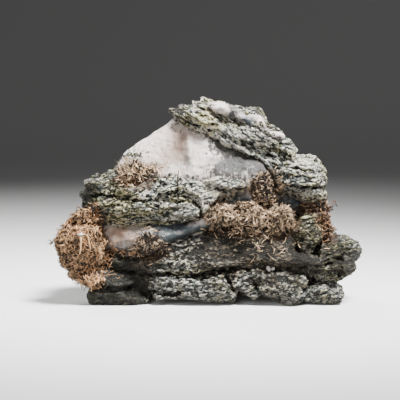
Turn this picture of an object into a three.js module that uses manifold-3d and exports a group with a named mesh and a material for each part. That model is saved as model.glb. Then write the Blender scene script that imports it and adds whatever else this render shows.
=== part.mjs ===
// Native silver on calcite: a hand specimen of foliated schist, parted by a white calcite vein on which
// wire silver has grown. Millimetres, +Z up, standing on its own feet at z = 0, with the vein's best side
// towards -Y.
import * as THREE from 'three';
import { mergeVertices } from 'three/addons/utils/BufferGeometryUtils.js';
import { ImprovedNoise } from 'three/addons/math/ImprovedNoise.js';
import Module from 'manifold-3d';

// ---- Driving dimensions ----
const CONTACT_GAP = 0.35; // clearance between two minerals that grew against each other
const REST_HEIGHT = 0; // the level of the feet
const FLOOR_DEPTH = 12; // how far below the feet the base is trimmed away
const CAP_DIP = THREE.MathUtils.degToRad(27); // the cap's layers slope down to the right by this much
const CAP_ORIGIN = [6, 0, 48.8]; // where the cap's own sloping frame has its zero
const FRONT_BIAS = 0.42; // radians by which a ring's columns crowd towards the front, where -Y is
const CLOSING_SCALE = 0.6; // the size of the small ring over which a ringed body closes
const CURL_LENGTH = 3.6; // a bold wire's length before it turns back
const WIRE_RADIUS = 0.5; // of the bold wires, the only ones drawn one by one
const GOLDEN_ANGLE = Math.PI * (3 - Math.sqrt(5));

const wasm = await Module();
wasm.setup();
const field = new ImprovedNoise();

// ---- Small numeric tools ----

// Smooth noise from -1 to 1, different for each seed.
function noiseAt(seed, x, y, z) {
  return field.noise(x + 17.31 * seed, y - 9.77 * seed, z + 5.13 * seed);
}

// A repeatable value from 0 to 1 for the index-th choice of a seed.
function pick(seed, index) {
  const value = Math.sin(seed * 127.1 + index * 311.7) * 43758.5453;
  return value - Math.floor(value);
}

// Each row of a table starts with its key, a height or a distance; this blends the two rows around a key.
function rowAt(table, key) {
  let row = 0;
  while (row < table.length - 2 && key > table[row + 1][0]) row += 1;
  const [low, high] = [table[row], table[row + 1]];
  const share = THREE.MathUtils.clamp((key - low[0]) / (high[0] - low[0]), 0, 1);
  return low.map((value, k) => THREE.MathUtils.lerp(value, high[k], share));
}

// Gathers a smooth value into steps, as rock breaks back in ledges rather than in waves.
function stepped(value, step = 0.42) {
  return THREE.MathUtils.lerp(value, Math.round(value / step) * step, 0.8);
}

// ---- Solids and meshes ----

function toSolid(geometry) {
  const bare = geometry.index ? geometry.toNonIndexed() : geometry.clone();
  bare.deleteAttribute('normal');
  bare.deleteAttribute('uv');
  const merged = mergeVertices(bare, 1e-4);
  const made = new wasm.Manifold(
    new wasm.Mesh({
      numProp: 3,
      vertProperties: new Float32Array(merged.attributes.position.array),
      triVerts: new Uint32Array(merged.index.array),
    }),
  );
  return made;
}

function toGeometry(solid) {
  const mesh = solid.getMesh();
  const places = new Float32Array(mesh.numVert * 3);
  for (let i = 0; i < mesh.numVert; i += 1) {
    places.set(mesh.vertProperties.subarray(i * mesh.numProp, i * mesh.numProp + 3), i * 3);
  }
  const geometry = new THREE.BufferGeometry();
  geometry.setAttribute('position', new THREE.BufferAttribute(places, 3));
  geometry.setIndex(new THREE.BufferAttribute(new Uint32Array(mesh.triVerts), 1));
  return geometry;
}

function joined(solids) {
  return solids.reduce((sum, solid) => sum.add(solid));
}

// A mineral as it grew, and the room that it takes among its neighbours: the same shapes a contact gap
// larger. Each shape is a function of how far its skin is moved out.
function grain(shapes) {
  const body = (swell) => joined(shapes.map((shape) => toSolid(shape(swell))));
  const solid = body(0);
  return { solid, room: body(CONTACT_GAP).add(solid) };
}

// What is left of a grain once its neighbours have taken their room; crumbs that come loose are dropped.
function fitted({ solid, room }, ...neighbours) {
  const rest = neighbours.reduce((left, neighbour) => left.subtract(neighbour.room), solid);
  const [largest] = rest.decompose().sort((a, b) => b.volume() - a.volume());
  return { solid: largest, room };
}

// ---- Shapes ----

// A closed body made of rings. Each row of profile is [height, left, right, front, back]; heights are the
// ring levels, reach(ring, angle) moves a ring's points outwards and lift(x, y) tilts and waves every ring
// alike. Each end closes over one smaller ring and its middle point.
function ringBody({ profile, sides, heights, reach, lift, squareness, crown, belly }, swell) {
  const last = heights.length - 1;
  // A swollen body follows the furthest of each three rings, which covers the ledges between them.
  const furthest = (ring, angle) => {
    const near = swell > 0 ? [Math.max(ring - 1, 0), ring, Math.min(ring + 1, last)] : [ring];
    return swell + Math.max(...near.map((other) => reach(other, angle)));
  };
  const ringAt = (height, ring, scale, rise) => {
    const [, left, right, front, back] = rowAt(profile, height);
    return Array.from({ length: sides }, (_, side) => {
      const even = (side / sides) * 2 * Math.PI;
      const angle = even - FRONT_BIAS * Math.cos(even);
      const [c, s] = [Math.cos(angle), Math.sin(angle)];
      const fullness = (Math.abs(c) ** squareness + Math.abs(s) ** squareness) ** (-1 / squareness);
      const out = furthest(ring, angle);
      const x = (left + right) / 2 + scale * c * (fullness * (right - left) / 2 + out);
      const y = (front + back) / 2 + scale * s * (fullness * (back - front) / 2 + out);
      return [x, y, height + rise + lift(x, y)];
    });
  };
  const rings = [
    ringAt(heights[0], 0, CLOSING_SCALE, belly * (CLOSING_SCALE - 1) - swell),
    ...heights.map((height, ring) => ringAt(height, ring, 1, 0)),
    ringAt(heights[last], last, CLOSING_SCALE, crown * (1 - CLOSING_SCALE) + swell),
  ];
  return stitched(rings);
}

// Skins a stack of rings, all with the same number of points, and closes both ends over their middles.
function stitched(rings) {
  const sides = rings[0].length;
  const middle = (ring) => [0, 1, 2].map((k) => ring.reduce((sum, point) => sum + point[k], 0) / sides);
  const top = rings.length - 1;
  const places = [...rings.flat(2), ...middle(rings[0]), ...middle(rings[top])];
  const [lowPole, highPole] = [rings.length * sides, rings.length * sides + 1];
  const faces = [];
  for (let side = 0; side < sides; side += 1) {
    const next = (side + 1) % sides;
    faces.push(lowPole, next, side, highPole, top * sides + side, top * sides + next);
    for (let ring = 0; ring < top; ring += 1) {
      const [a, b] = [ring * sides + side, ring * sides + next];
      faces.push(a, b, b + sides, a, b + sides, a + sides);
    }
  }
  const geometry = new THREE.BufferGeometry();
  geometry.setAttribute('position', new THREE.BufferAttribute(new Float32Array(places), 3));
  geometry.setIndex(faces);
  return geometry;
}

// Schist: flat layers of uneven thickness, each standing out or back by ledges of its own, with a notch
// below it.
function foliated({ profile, sides, layers, seed, ledge = 1.3, notch = 0.8, dip = [0, 0], wave = 0.5 }) {
  const bottom = profile[0][0];
  const top = profile[profile.length - 1][0];
  const weights = Array.from({ length: layers }, (_, layer) => 0.4 + 1.2 * pick(seed, layer));
  const total = weights.reduce((sum, weight) => sum + weight, 0);
  const heights = [];
  let level = bottom;
  weights.forEach((weight) => {
    const thick = (weight / total) * (top - bottom);
    heights.push(level + 0.12 * thick, level + 0.93 * thick);
    level += thick;
  });
  const reach = (ring, angle) => {
    const layer = Math.floor(ring / 2);
    const [c, s] = [Math.cos(angle), Math.sin(angle)];
    const stand = ledge * stepped(1.6 * noiseAt(seed, 3.4 * c, 3.4 * s, 0.83 * layer));
    const rough = 0.7 * noiseAt(seed + 5, 6.3 * c, 6.3 * s, 0.9 * ring);
    const under = ring % 2 === 0 ? -notch * (0.4 + pick(seed + 7, layer)) : 0;
    return stand + rough + under;
  };
  const lift = (x, y) => dip[0] * x + dip[1] * y + wave * noiseAt(seed + 9, x / 11, y / 11, 0.5);
  const form = { profile, sides, heights, reach, lift, squareness: 3, crown: 0.6, belly: 0.4 };
  return (swell) => ringBody(form, swell);
}

// Massive calcite: smooth rings with a few broad ridges and hollows where it broke along its cleavage.
function massive({ profile, sides, count, seed, ridge }) {
  const bottom = profile[0][0];
  const top = profile[profile.length - 1][0];
  const heights = Array.from({ length: count }, (_, i) => THREE.MathUtils.lerp(bottom, top, i / (count - 1)));
  const reach = (ring, angle) => {
    const [c, s] = [Math.cos(angle), Math.sin(angle)];
    const facet = Math.abs(Math.cos(2.5 * angle + 0.06 * ring)) - 0.6;
    return ridge * facet + 1.4 * noiseAt(seed, 2.4 * c, 2.4 * s, 0.23 * ring);
  };
  const lift = (x, y) => 0.4 * noiseAt(seed + 2, x / 9, y / 9, 0.3);
  const form = { profile, sides, heights, reach, lift, squareness: 2.9, crown: 0.8, belly: 0.5 };
  return (swell) => ringBody(form, swell);
}

// A rounded lump of unit size. boxiness 2 is a ball and more is squarer; faces are flat cleavage planes that
// cut into it, and rough is how far its surface wanders.
function unitLump({ seed, detail, boxiness, faces, rough }) {
  const ball = new THREE.IcosahedronGeometry(1, detail).deleteAttribute('normal').deleteAttribute('uv');
  const geometry = mergeVertices(ball);
  const { position } = geometry.attributes;
  const planes = Array.from({ length: faces }, (_, i) => {
    const around = 2 * Math.PI * ((i + pick(seed, i)) / faces);
    const rise = 1.2 * (pick(seed + 1, i) - 0.5);
    const normal = new THREE.Vector3(Math.cos(around), Math.sin(around), rise).normalize();
    return new THREE.Plane(normal, -0.7 - 0.2 * pick(seed + 2, i));
  });
  const point = new THREE.Vector3();
  for (let i = 0; i < position.count; i += 1) {
    point.fromBufferAttribute(position, i);
    const norm = point.toArray().reduce((sum, v) => sum + Math.abs(v) ** boxiness, 0) ** (1 / boxiness);
    point.multiplyScalar((1 + 2 * rough * noiseAt(seed, 1.9 * point.x, 1.9 * point.y, 1.9 * point.z)) / norm);
    planes.forEach((plane) => {
      point.addScaledVector(plane.normal, -Math.max(plane.distanceToPoint(point), 0));
    });
    position.setXYZ(i, point.x, point.y, point.z);
  }
  return geometry;
}

// A lump at its place: radii along X, Y and Z, then turned about Y.
function lump({ at, radii, seed, turn = 0, detail = 1, boxiness = 2, faces = 0, rough = 0.14 }) {
  return (swell) => {
    const geometry = unitLump({ seed, detail, boxiness, faces, rough });
    return geometry.scale(...radii.map((radius) => radius + swell)).rotateY(turn).translate(...at);
  };
}

// A broken block of schist: squarish, with flat cleavage faces.
function block(options) {
  return lump({ boxiness: 3.6, faces: 5, rough: 0.1, ...options });
}

// A sheet of mineral that fills the space between two walls. Each row of course is
// [x, middle height, half thickness, front, back].
function sheet({ course, seed, detail }) {
  const [start, end] = [course[0][0], course[course.length - 1][0]];
  return (swell) => {
    const geometry = unitLump({ seed, detail, boxiness: 3.6, faces: 0, rough: 0.06 });
    const { position } = geometry.attributes;
    for (let i = 0; i < position.count; i += 1) {
      const x = THREE.MathUtils.lerp(start - swell, end + swell, (position.getX(i) + 1) / 2);
      const [, middle, half, front, back] = rowAt(course, x);
      const y = THREE.MathUtils.lerp(front - swell, back + swell, (position.getY(i) + 1) / 2);
      const wave = 1.2 * noiseAt(seed, x / 12, y / 8, 0.5);
      position.setXYZ(i, x, y, middle + wave + (half + swell) * position.getZ(i));
    }
    return geometry;
  };
}

// A crevice: a blade along a path of [x, z] points, widest in the middle, cut in from the front.
function crevice({ path, width, front, back }) {
  const along = path.map(([x, z]) => new THREE.Vector2(x, z));
  const edge = (sign) => along.map((point, i) => {
    const before = along[Math.max(i - 1, 0)];
    const after = along[Math.min(i + 1, along.length - 1)];
    const side = after.clone().sub(before).normalize().rotateAround(new THREE.Vector2(), Math.PI / 2);
    const open = 0.5 * width * Math.sin((Math.PI * (i + 0.35)) / (along.length - 0.3));
    return point.clone().addScaledVector(side, sign * open);
  });
  const shape = new THREE.Shape([...edge(-1), ...edge(1).reverse()]);
  const geometry = new THREE.ExtrudeGeometry(shape, { depth: back - front, bevelEnabled: false });
  return geometry.rotateX(Math.PI / 2).translate(0, back, 0);
}

// A thick wire of silver that leaves a tuft and curls back towards it.
function curl({ from, out, length, radius, seed }) {
  const side = new THREE.Vector3(pick(seed, 1) - 0.5, pick(seed, 2) - 0.5, pick(seed, 3) - 0.5);
  side.cross(out).normalize();
  const bend = 2.3;
  const points = [0, 0.35, 0.7, 1].map((share) => {
    const rise = 0.62 * length * Math.sin(bend * share);
    const sway = 0.38 * length * (1 - Math.cos(bend * share));
    return from.clone().addScaledVector(out, rise).addScaledVector(side, sway);
  });
  const corner = (k) => new THREE.Vector2(radius, 0).rotateAround(new THREE.Vector2(), (k * 2 * Math.PI) / 3);
  return new THREE.ExtrudeGeometry(new THREE.Shape([0, 1, 2].map(corner)), {
    steps: 3,
    extrudePath: new THREE.CatmullRomCurve3(points),
    bevelEnabled: false,
  });
}

// Wire silver as one solid: the rounded form that its wires fill, with its boldest wires standing out of it.
function tuft({ lobes, curls, seed }) {
  const forms = lobes.map((lobe, i) => lump({ rough: 0.16, ...lobe, seed: seed + i }));
  const wires = Array.from({ length: curls }, (_, i) => {
    const { at, radii } = lobes[i % lobes.length];
    const height = 2 * ((i + 0.5) / curls) - 1;
    const around = i * GOLDEN_ANGLE;
    const flat = Math.sqrt(1 - height * height);
    const out = new THREE.Vector3(flat * Math.cos(around), flat * Math.sin(around), height);
    const root = out.clone().multiply(new THREE.Vector3(...radii)).multiplyScalar(0.76);
    const from = root.add(new THREE.Vector3(...at));
    return () => curl({ from, out, length: CURL_LENGTH, radius: WIRE_RADIUS, seed: seed + i });
  });
  return grain([...forms, ...wires]);
}

function floorBlock() {
  const reach = 150;
  const below = new THREE.BoxGeometry(reach, reach, FLOOR_DEPTH);
  return toSolid(below.translate(0, 0, REST_HEIGHT - FLOOR_DEPTH / 2));
}

// ---- Calcite: the broad white mass, and the lens, seam and pocket between the schist walls ----

function calciteVein() {
  const mass = massive({
    profile: [
      [30, -24, 22, -5, 15],
      [33, -27.6, 24.6, -9.5, 17],
      [36, -28.2, 23, -11.2, 18],
      [39.6, -28, 20, -11.4, 18.5],
      [42.4, -26.2, 15, -10.4, 18.5],
      [45.2, -22.2, 10, -8.8, 18],
      [48.5, -17, 4, -6.4, 17],
      [50.8, -12.6, -1, -3.2, 14],
      [52.6, -10.2, -6.4, 1.2, 9],
    ],
    sides: 22,
    count: 8,
    seed: 4,
    ridge: 0.9,
  });
  const filling = sheet({
    course: [
      [-35, 17.6, 3, -12, 16],
      [-28, 18.6, 5, -17.5, 18.5],
      [-21, 18.6, 5, -18, 19],
      [-14.5, 19, 4.2, -16.5, 19],
      [-9, 20.6, 2.2, -15.6, 19],
      [-3, 23, 1.8, -15.4, 18.6],
      [2, 26, 2, -14.6, 18],
      [9, 27, 3, -9, 18],
      [16, 27.4, 5, -7, 17.5],
      [22, 28, 6, -6.6, 17],
      [28, 27, 5, -5, 15],
      [32.6, 26, 3, -2, 12],
    ],
    seed: 21,
    detail: 3,
  });
  return grain([mass, filling]);
}

// ---- Schist ----

// A grain with crevices cut into its front.
function cracked({ solid, room }, cracks) {
  return { solid: cracks.reduce((rest, crack) => rest.subtract(toSolid(crevice(crack))), solid), room };
}

function schistMiddle(calcite) {
  const layered = foliated({
    profile: [
      [22, -31, -7, -12, 15],
      [24.2, -34, -2.5, -15.5, 17.4],
      [27, -37, 3, -17.2, 18.8],
      [30, -38.2, 8.4, -17.4, 19],
      [33, -38, 12, -16, 18.4],
      [35.2, -36.8, 12.4, -13.4, 16],
      [36.6, -34.6, 8, -9.4, 9],
    ],
    sides: 26,
    layers: 4,
    seed: 31,
    ledge: 1.3,
    dip: [0.012, -0.02],
  });
  const knobs = [
    { at: [-33.4, -8.5, 33.4], radii: [4.4, 5.5, 3], seed: 41 },
    { at: [3.6, -9.5, 34.4], radii: [7, 5.6, 2.7], seed: 42 },
    { at: [-7, -12.2, 27.4], radii: [7, 5, 3.4], seed: 43, turn: -0.25 },
    { at: [-18, 13, 31], radii: [12, 6, 4], seed: 45, turn: 0.1 },
  ];
  const cracks = [
    {
      path: [[-18, 31.6], [-8.4, 32.2], [-4.6, 31], [-2.2, 27.6]],
      width: 1.6,
      front: -24,
      back: -13,
    },
  ];
  return fitted(cracked(grain([layered, ...knobs.map(block)]), cracks), calcite);
}

function schistFragment(calcite) {
  const layered = foliated({
    profile: [
      [14, 26.4, 28.6, -14.6, -11.6],
      [17, 25, 31.2, -15.4, -9],
      [20, 24.4, 32.4, -15.8, -7],
      [24, 24.2, 32.6, -15, -6],
      [27, 25.8, 31.8, -13, -6.4],
      [28.4, 27.4, 31, -11, -8],
    ],
    sides: 14,
    layers: 4,
    seed: 51,
    ledge: 0.6,
    notch: 0.3,
    dip: [-0.1, 0],
    wave: 0.2,
  });
  return fitted(grain([layered]), calcite);
}

function schistBase(calcite, middle, fragment) {
  const layered = foliated({
    profile: [
      [1.2, -32, 33, -12, 16.5],
      [3.6, -34.6, 35, -14.6, 19],
      [6.4, -36, 38.6, -16.4, 20.6],
      [9, -36, 41, -17.4, 21.4],
      [12, -34.6, 43, -17.8, 21.6],
      [14.2, -33.6, 43.4, -17, 21.4],
      [16.4, -27, 41.6, -15.8, 21],
      [18.4, -18, 36.6, -14.4, 20.4],
      [20.8, -9, 31, -12, 19.6],
      [25, -1, 26, -8, 18],
    ],
    sides: 30,
    layers: 6,
    seed: 61,
    ledge: 1.8,
    notch: 1,
    dip: [0.006, 0.01],
  });
  const blocks = [
    { at: [-26, -13.4, 2.2], radii: [9.6, 6.8, 3], seed: 71 }, // front left foot
    { at: [-30, -13.6, 7.4], radii: [8.6, 6.4, 2.4], seed: 78 }, // the ledge over it
    { at: [-13, -13.6, 5.4], radii: [6.4, 5.2, 3], seed: 82 },
    { at: [0.6, -15.4, 4.6], radii: [8, 5.2, 4], seed: 72, turn: 0.08 }, // the pale block in the middle
    { at: [12.4, -14.6, 6.8], radii: [4.2, 4.4, 4.4], seed: 73, turn: 0.5 },
    { at: [21.8, -15, 5.6], radii: [7.2, 5.6, 5.4], seed: 74 },
    { at: [33, -12.4, 2.6], radii: [6, 6.6, 3.4], seed: 75, turn: 0.1 }, // front right foot
    { at: [35.6, -10.6, 9], radii: [7.6, 6.4, 3], seed: 81, turn: -0.35 },
    { at: [40.2, -5.6, 14.4], radii: [5, 7, 3.8], seed: 76 }, // the knob at the right end
    { at: [23, -15, 12.6], radii: [9.6, 4.4, 2.6], seed: 77, turn: 0.1 },
    { at: [-22, 14, 3], radii: [11, 6.4, 4.4], seed: 79 }, // back left foot
    { at: [24, 14.6, 3], radii: [9.4, 6.4, 4.4], seed: 80 }, // back right foot
    { at: [2, 16, 11], radii: [15, 5.4, 5], seed: 85, turn: 0.12 },
    { at: [23, 9, 23], radii: [10.6, 8.4, 7], seed: 84 }, // carries the cap's lower end
  ];
  const cracks = [
    {
      path: [[-25, 8.8], [-9, 8.6], [-3, 8.2], [3, 10], [9, 10.6], [15, 9.8]],
      width: 1.6,
      front: -30,
      back: -15.2,
    },
    { path: [[27, 0.4], [28.4, 3.4], [30.6, 6.4]], width: 1.4, front: -30, back: -12 },
  ];
  const { solid, room } = cracked(grain([layered, ...blocks.map(block)]), cracks);
  return fitted({ solid: solid.subtract(floorBlock()), room }, calcite, middle, fragment);
}

// Turns a shape of the cap's sloping frame to lie down to the right.
function sloped(shape) {
  return (swell) => shape(swell).rotateY(CAP_DIP).translate(...CAP_ORIGIN);
}

function capSeam() {
  const patches = [
    { at: [-4.6, -4.6, 6.2], radii: [6, 3.4, 2.3], seed: 91 },
    { at: [6.6, -4.4, 5.6], radii: [8.6, 3.2, 1.9], seed: 92 },
  ];
  return grain(patches.map((patch) => sloped(lump(patch))));
}

function schistCap(calcite, middle, fragment, base, seam) {
  const slab = foliated({
    profile: [
      [-5, -10, 15, -6, 14],
      [-3.2, -18.4, 19, -8.4, 17],
      [0, -17.4, 20.4, -9, 18.4],
      [3, -15, 20.4, -8.6, 18.4],
      [5.4, -12, 19, -6.8, 17],
      [7.4, -8, 12.4, -4.2, 15],
      [8.8, -3, 8, -0.6, 11],
    ],
    sides: 24,
    layers: 4,
    seed: 101,
    ledge: 1.2,
    notch: 0.6,
    wave: 0.8,
  });
  const shoulder = foliated({
    profile: [
      [30.2, 27.5, 34.4, -9, 12],
      [32.6, 21, 34.9, -12.6, 15.6],
      [35.6, 17.5, 35.2, -14, 17.4],
      [38.6, 16, 35, -13.6, 18],
      [41.2, 14, 33.6, -12, 17],
      [43, 12, 30.6, -9, 15],
    ],
    sides: 18,
    layers: 4,
    seed: 111,
    ledge: 1,
    notch: 0.7,
    wave: 0.4,
    dip: [-0.06, 0],
  });
  const knobs = [
    { at: [4.4, 3, 7.4], radii: [4.2, 5, 2.6], seed: 121 },
    { at: [-9.4, 0.5, 4.8], radii: [5, 6, 2.6], seed: 122 },
    { at: [16.6, 0, 3.6], radii: [4.6, 6.5, 2.4], seed: 123 },
    { at: [-10, -6.6, 1.4], radii: [5.4, 3.4, 2.8], seed: 124 },
    { at: [3.4, -7.4, 1.8], radii: [6.4, 3, 3], seed: 125 },
  ];
  const shapes = [sloped(slab), shoulder, ...knobs.map((knob) => sloped(block(knob)))];
  return fitted(grain(shapes), calcite, middle, fragment, base, seam);
}

// ---- Silver ----

function silverTufts(calcite, middle, fragment, base, cap) {
  return {
    silver_moss_left: fitted(
      tuft({
        lobes: [
          { at: [-37.2, -11, 16.2], radii: [7.6, 8.8, 9.6], detail: 2 },
          { at: [-35.6, -11.6, 24.4], radii: [4, 4.6, 3.2] },
        ],
        curls: 7,
        seed: 131,
      }),
      calcite, middle, base,
    ),
    silver_moss_upper: fitted(
      tuft({ lobes: [{ at: [-21.4, -11.6, 37.4], radii: [5.6, 3.6, 4.5] }], curls: 3, seed: 141 }),
      calcite, middle,
    ),
    silver_moss_centre: fitted(
      tuft({
        lobes: [
          { at: [3.6, -12.4, 25.2], radii: [6.4, 3.8, 3.4] },
          { at: [11.6, -12.4, 25], radii: [6.6, 5, 5] },
          { at: [19.6, -11.4, 24], radii: [5.6, 4.8, 4.8] },
          { at: [15.4, -10.6, 32], radii: [3.8, 4, 5.4] },
        ],
        curls: 4,
        seed: 151,
      }),
      calcite, middle, fragment, base, cap,
    ),
    silver_moss_lower: fitted(
      tuft({ lobes: [{ at: [-17, -15.6, 17.4], radii: [4.6, 4, 4.2] }], curls: 3, seed: 161 }),
      calcite, middle, base,
    ),
    silver_moss_right: fitted(
      tuft({
        lobes: [
          { at: [32.4, -6, 21.4], radii: [3.8, 6, 8] },
          { at: [30.6, -5, 27.4], radii: [4.2, 5, 4.2] },
        ],
        curls: 3,
        seed: 171,
      }),
      calcite, fragment, base, cap,
    ),
  };
}

// ---- Assembly ----

const finishes = {
  schist: { color: 0x6c7062, roughness: 0.85, metalness: 0 },
  fragment: { color: 0x85835a, roughness: 0.85, metalness: 0 },
  calcite: { color: 0xe6dcd9, roughness: 0.4, metalness: 0 },
  silver: { color: 0xb98c6c, roughness: 0.38, metalness: 0.85 },
};

function meshOf(name, { solid }, finish) {
  const mesh = new THREE.Mesh(toGeometry(solid), new THREE.MeshStandardMaterial(finishes[finish]));
  mesh.name = name;
  return mesh;
}

const calcite = calciteVein();
const middle = schistMiddle(calcite);
const fragment = schistFragment(calcite);
const base = schistBase(calcite, middle, fragment);
const seam = capSeam();
const cap = schistCap(calcite, middle, fragment, base, seam);

const specimen = new THREE.Group();
specimen.add(
  meshOf('schist_base', base, 'schist'),
  meshOf('schist_middle', middle, 'schist'),
  meshOf('schist_cap', cap, 'schist'),
  meshOf('schist_fragment', fragment, 'fragment'),
  meshOf('calcite_vein', calcite, 'calcite'),
  meshOf('calcite_cap_seam', seam, 'calcite'),
);
Object.entries(silverTufts(calcite, middle, fragment, base, cap)).forEach(([name, tuftPiece]) => {
  specimen.add(meshOf(name, tuftPiece, 'silver'));
});

// The origin is under the middle of the specimen's box.
const middlePoint = new THREE.Box3().setFromObject(specimen).getCenter(new THREE.Vector3());
specimen.position.set(-middlePoint.x, -middlePoint.y, 0);

export default specimen;
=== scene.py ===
"""Native silver on calcite: the surfaces, light and camera of a hand specimen.

The frame's nodes give every mineral its place and main form. Here the schist is broken into layers, flakes
and cracks, the calcite is cleft and healed into a translucent mass, and the silver grows as curled wires.
"""

import math

import bpy
import numpy as np
from bpy.props import FloatProperty, FloatVectorProperty, IntProperty, PointerProperty
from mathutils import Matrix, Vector, noise
from mathutils.bvhtree import BVHTree


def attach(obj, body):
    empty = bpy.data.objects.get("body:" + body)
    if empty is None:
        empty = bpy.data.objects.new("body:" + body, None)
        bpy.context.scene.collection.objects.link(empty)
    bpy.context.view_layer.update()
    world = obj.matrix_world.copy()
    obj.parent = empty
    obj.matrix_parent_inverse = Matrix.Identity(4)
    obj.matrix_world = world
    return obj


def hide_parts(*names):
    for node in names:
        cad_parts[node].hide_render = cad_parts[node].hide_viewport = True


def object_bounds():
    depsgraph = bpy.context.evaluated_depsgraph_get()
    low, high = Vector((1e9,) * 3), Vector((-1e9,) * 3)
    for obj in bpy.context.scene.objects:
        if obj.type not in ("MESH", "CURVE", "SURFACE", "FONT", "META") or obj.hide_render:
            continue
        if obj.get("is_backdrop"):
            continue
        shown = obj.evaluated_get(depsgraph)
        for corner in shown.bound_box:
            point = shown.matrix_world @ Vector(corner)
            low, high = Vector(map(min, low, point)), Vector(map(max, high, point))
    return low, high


bl_info = {
    "name": "Silver on Calcite Specimen",
    "version": (1, 0, 0),
    "blender": (4, 5, 0),
    "location": "View3D > Sidebar > Specimen",
    "description": "Builds a mineral specimen of schist, calcite and wire silver",
    "category": "Add Mesh",
}

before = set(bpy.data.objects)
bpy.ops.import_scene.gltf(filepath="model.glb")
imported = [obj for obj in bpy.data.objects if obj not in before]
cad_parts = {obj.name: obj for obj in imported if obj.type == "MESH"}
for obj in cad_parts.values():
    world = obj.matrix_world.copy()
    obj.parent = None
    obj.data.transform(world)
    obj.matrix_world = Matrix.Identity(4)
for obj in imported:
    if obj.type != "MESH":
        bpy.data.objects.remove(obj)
cad_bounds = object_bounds()

MM = 0.001  # one millimetre in metres, the unit of every size below
FLOOR_LEVEL = 0.0
FRONT = Vector((0.0, 1.0, 0.0))  # the way that the camera looks, into the front of the specimen
FRONT_START = -60 * MM  # a plane in front of the whole specimen


def linear(hex_colour):
    """The linear RGBA colour of an sRGB hex value."""
    channels = [(hex_colour >> shift & 255) / 255 for shift in (16, 8, 0)]
    return [c / 12.92 if c <= 0.04045 else ((c + 0.055) / 1.055) ** 2.4 for c in channels] + [1.0]


def size(name, description, value):
    """A length property, in metres."""
    shown = {"min": 0.0, "unit": "LENGTH", "precision": 5}
    return FloatProperty(name=name, description=description, default=value, **shown)


def colour(name, description, hex_colour):
    """A colour property, given as an sRGB hex value."""
    shown = {"min": 0.0, "max": 1.0, "size": 4, "subtype": "COLOR"}
    return FloatVectorProperty(name=name, description=description, default=linear(hex_colour), **shown)


class SchistSettings(bpy.types.PropertyGroup):
    """Sizes and colours of the schist."""

    swell: size("Swell", "How far the rock grows to meet its neighbours", 0.25 * MM)
    lump: size("Lump depth", "Height of the broad lumps of a broken face", 0.3 * MM)
    block: size("Block depth", "How far whole blocks stand out or back", 0.55 * MM)
    ledge: size("Ledge depth", "How far the layers stand out or back", 0.45 * MM)
    flake: size("Flake depth", "How far single flakes stand out or back", 0.25 * MM)
    crevice: size("Crevice depth", "Depth of the gaps between parted layers", 0.6 * MM)
    crack_width: size("Crack width", "Half the width of the cracks between blocks", 0.5 * MM)
    crack_depth: size("Crack depth", "Depth of the cracks between blocks", 3.2 * MM)
    grey: colour("Grey schist", "Fresh blue-grey rock", 0x696F6C)
    green: colour("Green schist", "Rock with chlorite and epidote", 0x656345)
    brown: colour("Brown schist", "Weathered rock below the vein", 0x3C3226)
    straw: colour("Straw schist", "Pale layers stained by epidote", 0xC9C197)
    pale: colour("Pale schist", "Sheared, pale layers with much mica", 0xD4CDBD)
    mica: colour("Mica", "Pale flecks of mica", 0xD8D6C6)
    # Dark is also what the painted shade darkens the rock towards, in the pits and in shaded zones.
    dark: colour("Dark schist", "Dark grains, and old dirt in the pits", 0x16140E)
    tan: colour("Tan schist", "Pale layers of the weathered rock", 0x8F8068)
    rust: colour("Rust", "Brown staining beside the silver", 0x4A3424)
    crust: colour("Crust", "White film where calcite was torn off", 0xCFC7BC)


class CalciteSettings(bpy.types.PropertyGroup):
    """Sizes and colours of the calcite."""

    face: size("Face size", "Size of the faces of the finished calcite", 0.42 * MM)
    swell: size("Swell", "How far the calcite grows to meet the schist", 0.22 * MM)
    white: colour("White", "Cloudy white calcite", 0xE4D9D2)
    blush: colour("Blush", "Faintly pink and beige calcite", 0x957C6C)
    clear: colour("Clear", "Glassy calcite, dark with the rock behind it", 0x343D41)
    dirt: colour("Dirt", "Rock dust in the calcite beside the schist", 0x201E18)


class SilverSettings(bpy.types.PropertyGroup):
    """Sizes, numbers and colours of the silver wires."""

    radius: size("Wire radius", "Half the thickness of a wire at its root", 0.165 * MM)
    length: size("Wire length", "Length of a middling wire", 1.9 * MM)
    rings: IntProperty(name="Rings", description="Rings of faces along a wire", default=5, min=4, max=20)
    sides: IntProperty(name="Sides", description="Faces around a wire", default=3, min=3, max=8)
    tan: colour("Tan", "Patina of the wires on the left", 0xF0BE8C)
    rose: colour("Rose", "Patina of the wires in the middle", 0xFFDCB4)
    rust: colour("Rust", "Patina of the wires on the right", 0xFFC99A)
    # Shade is also the painted shade of each tuft's core and of its deepest wires.
    shade: colour("Shade", "The oldest, darkest wires and the core", 0x1D130C)


class StageSettings(bpy.types.PropertyGroup):
    """Camera and studio."""

    paper: colour("Paper", "The plain pale paper under and behind the specimen", 0xF1F1F0)
    distance: size("Camera distance", "From the camera to the middle of the specimen", 0.6)
    seen_width: size("Seen width", "Width that the camera sees at the specimen", 117.8 * MM)
    elevation: FloatProperty(
        name="Elevation",
        description="How far the camera looks down",
        default=math.radians(5),
        unit="ROTATION",
    )
    sweep: size("Sweep", "Radius of the curve that the paper makes behind the specimen", 1.4)
    glow: FloatProperty(name="Glow", description="Strength of the room's light", default=0.045, min=0.0)


# ---- Nodes ----


def add(tree, kind, inputs=(), **settings):
    """Adds a node with its settings. Inputs are values or links, in order or by the socket's name."""
    node = tree.nodes.new(kind)
    for name, value in settings.items():
        setattr(node, name, value)
    sockets = [socket for socket in node.inputs if socket.enabled]
    named = inputs if isinstance(inputs, dict) else dict(enumerate(inputs))
    for key, value in named.items():
        socket = sockets[key] if isinstance(key, int) else next(s for s in sockets if s.name == key)
        if isinstance(value, bpy.types.Node):
            value = next(s for s in value.outputs if s.enabled)
        if isinstance(value, bpy.types.NodeSocket):
            tree.links.new(value, socket)
        else:
            socket.default_value = value
    return node


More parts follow.
